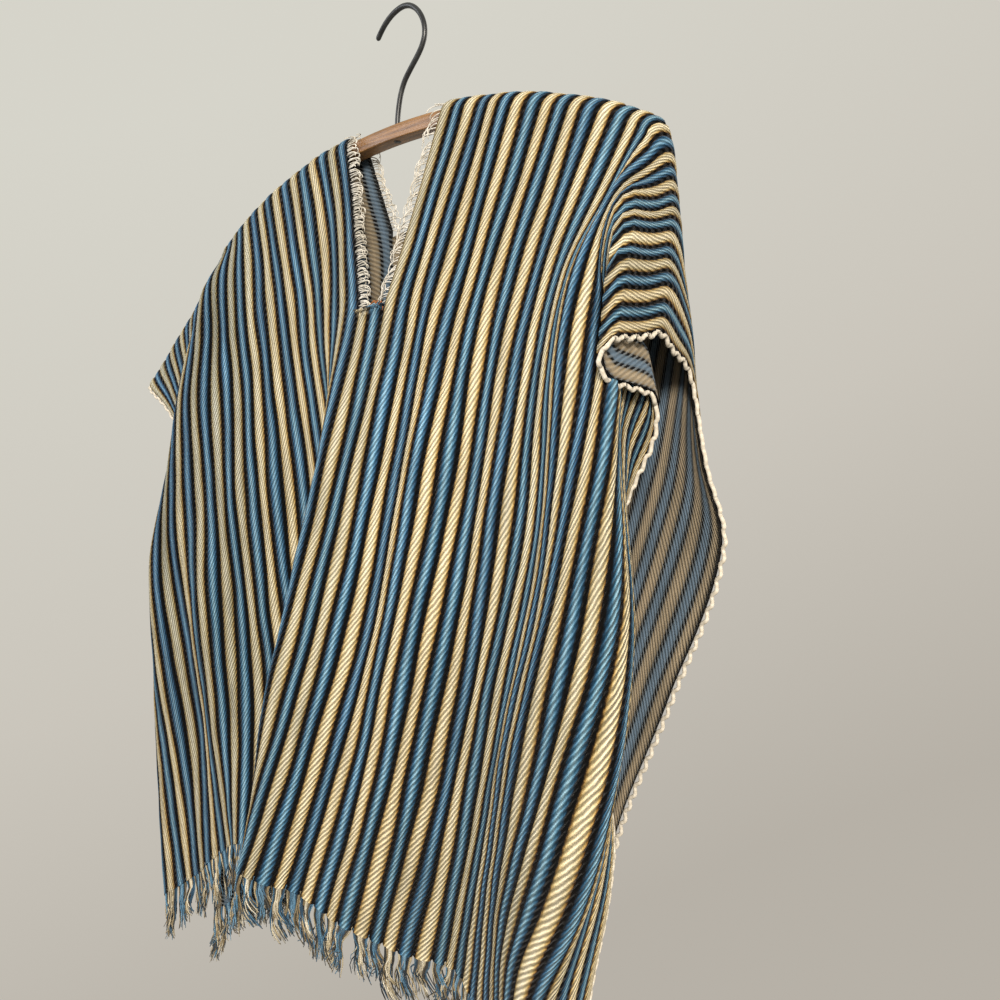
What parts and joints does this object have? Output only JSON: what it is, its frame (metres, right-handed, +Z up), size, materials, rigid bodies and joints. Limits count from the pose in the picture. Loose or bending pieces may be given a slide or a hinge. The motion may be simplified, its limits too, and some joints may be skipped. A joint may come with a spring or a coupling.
{
  "type": "poncho on a hanger",
  "caption": "Striped handwoven poncho with a frayed neck slit and fringed hems, hung in soft folds from a wooden hanger with a wire hook.",
  "frame": {"origin": "under the crown of the hook, where the hanger rests on a rail, nail or peg", "axes": "+Z up, +X across the shoulders towards the wearer's left side, +Y from the front panel towards the back panel and the wall"},
  "size_m": [0.5984, 0.1285, 0.8501],
  "materials": {
    "woven_cloth": "thick ribbed cotton and wool, matte",
    "fringe_yarn": "loose warp ends, matte",
    "weft_fray": "loose white weft ends, matte",
    "stained_wood": "satin varnish",
    "dark_wire": "satin"
  },
  "bodies": {
    "root": {"cloth_front": "woven_cloth", "cloth_back": "woven_cloth", "hem_fringe_front": "fringe_yarn", "hem_fringe_back": "fringe_yarn", "slit_fray_front_left": "weft_fray", "slit_fray_front_right": "weft_fray", "slit_fray_back_left": "weft_fray", "slit_fray_back_right": "weft_fray", "hanger_bar": "stained_wood", "hanger_hook": "dark_wire"}
  },
  "joints": []
}
